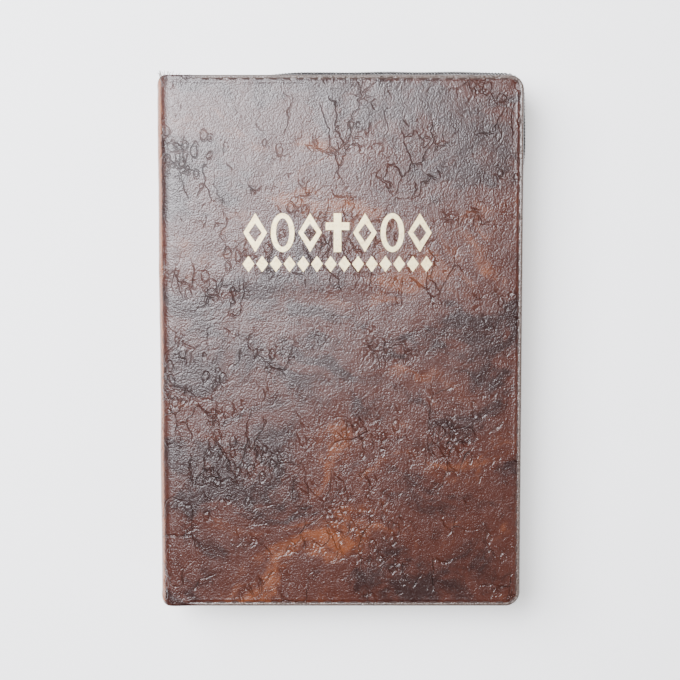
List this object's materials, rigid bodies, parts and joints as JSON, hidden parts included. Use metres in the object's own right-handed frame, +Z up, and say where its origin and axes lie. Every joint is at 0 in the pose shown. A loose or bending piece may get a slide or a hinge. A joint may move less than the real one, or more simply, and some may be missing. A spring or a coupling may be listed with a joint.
{
  "type": "zip-around book",
  "caption": "Zip-around bible with a limp marbled case, gold stamped front, sewn page block and coil zip; it opens flat at the spine and its pages turn.",
  "frame": {"origin": "middle of the back cover's outer face, which the closed book rests on", "axes": "+Z up through the thickness to the front cover, +Y towards the head of the book, +X towards the fore edge"},
  "size_m": [0.1473, 0.2189, 0.0327],
  "materials": {
    "leather": "marbled dark red-brown, semi-gloss, embossed grain",
    "greyboard": "plain grey millboard",
    "lining": "matt brown bonded lining",
    "paper": "thin cream bible paper with gilt edges",
    "endpaper": "plain tan endpaper",
    "gauze": "open cotton gauze under glue",
    "headband": "two-tone woven head band",
    "zip_tape": "ribbed grey-brown woven tape",
    "zip_coil": "dark moulded coil",
    "zip_metal": "antique brass",
    "thread": "brown sewing thread",
    "gold_foil": "pale gold foil stamping"
  },
  "bodies": {
    "back_cover": {"back_skin": "leather", "back_board": "greyboard", "back_lining": "lining", "back_endpaper": "endpaper", "back_section_1": "paper", "back_section_2": "paper", "back_section_3": "paper", "back_section_4": "paper", "back_section_5": "paper", "back_section_6": "paper", "back_section_7": "paper", "back_section_8": "paper", "back_gauze": "gauze", "back_head_band": "headband", "back_tail_band": "headband", "back_zip_tape": "zip_tape", "back_zip_teeth": "zip_coil", "back_zip_stops": "zip_metal", "back_stitching": "thread"},
    "spine": {"spine_skin": "leather", "spine_board": "greyboard", "spine_lining": "lining"},
    "front_cover": {"front_skin": "leather", "front_board": "greyboard", "front_lining": "lining", "front_pastedown": "endpaper", "front_zip_tape": "zip_tape", "front_zip_teeth": "zip_coil", "front_zip_stops": "zip_metal", "front_stitching": "thread", "cover_foil": "gold_foil"},
    "front_pages": {"front_section_1": "paper", "front_section_2": "paper", "front_section_3": "paper", "front_section_4": "paper", "front_section_5": "paper", "front_section_6": "paper", "front_section_7": "paper", "front_section_8": "paper", "front_flyleaf": "endpaper", "front_gauze": "gauze", "front_head_band": "headband", "front_tail_band": "headband"},
    "zip_slider": {"zip_slider": "zip_metal"},
    "zip_pull": {"zip_pull": "zip_metal"},
    "leaf_1": {"leaf_group_1": "paper"},
    "leaf_2": {"leaf_group_2": "paper"},
    "leaf_3": {"leaf_group_3": "paper"},
    "leaf_4": {"leaf_group_4": "paper"}
  },
  "joints": [
    {"name": "open_book", "type": "hinge", "parent": "back_cover", "child": "front_pages", "pos_m": [-0.07, 0, 0.0163], "axis": [0, -1, 0], "range_deg": [0, 180]},
    {"name": "spine_fold", "type": "hinge", "parent": "back_cover", "child": "spine", "pos_m": [-0.07174, 0, 0.00176], "axis": [0, -1, 0], "range_deg": [0, 90]},
    {"name": "cover_fold", "type": "hinge", "parent": "spine", "child": "front_cover", "pos_m": [-0.07174, 0, 0.03084], "axis": [0, -1, 0], "range_deg": [0, 90]},
    {"name": "leaf_turn_1", "type": "hinge", "parent": "back_cover", "child": "leaf_1", "pos_m": [-0.07, 0, 0.0163], "axis": [0, -1, 0], "range_deg": [0, 36]},
    {"name": "leaf_turn_2", "type": "hinge", "parent": "back_cover", "child": "leaf_2", "pos_m": [-0.07, 0, 0.0163], "axis": [0, -1, 0], "range_deg": [0, 72]},
    {"name": "leaf_turn_3", "type": "hinge", "parent": "back_cover", "child": "leaf_3", "pos_m": [-0.07, 0, 0.0163], "axis": [0, -1, 0], "range_deg": [0, 108]},
    {"name": "leaf_turn_4", "type": "hinge", "parent": "back_cover", "child": "leaf_4", "pos_m": [-0.07, 0, 0.0163], "axis": [0, -1, 0], "range_deg": [0, 144]},
    {"name": "zip_slide", "type": "slide", "parent": "back_cover", "child": "zip_slider", "axis": [1, 0, 0], "range_m": [0, 0.115], "deforming": ["back_zip_teeth", "front_zip_teeth"]},
    {"name": "pull_swing", "type": "hinge", "parent": "zip_slider", "child": "zip_pull", "pos_m": [-0.0535, -0.10975, 0.0163], "axis": [0, 0, -1], "range_deg": [0, 180]}
  ],
  "couplings": [
    {"joint": "spine_fold", "follows": "open_book", "ratio": 0.5},
    {"joint": "cover_fold", "follows": "open_book", "ratio": 0.5},
    {"joint": "leaf_turn_1", "follows": "open_book", "ratio": 0.2},
    {"joint": "leaf_turn_2", "follows": "open_book", "ratio": 0.4},
    {"joint": "leaf_turn_3", "follows": "open_book", "ratio": 0.6},
    {"joint": "leaf_turn_4", "follows": "open_book", "ratio": 0.8}
  ]
}
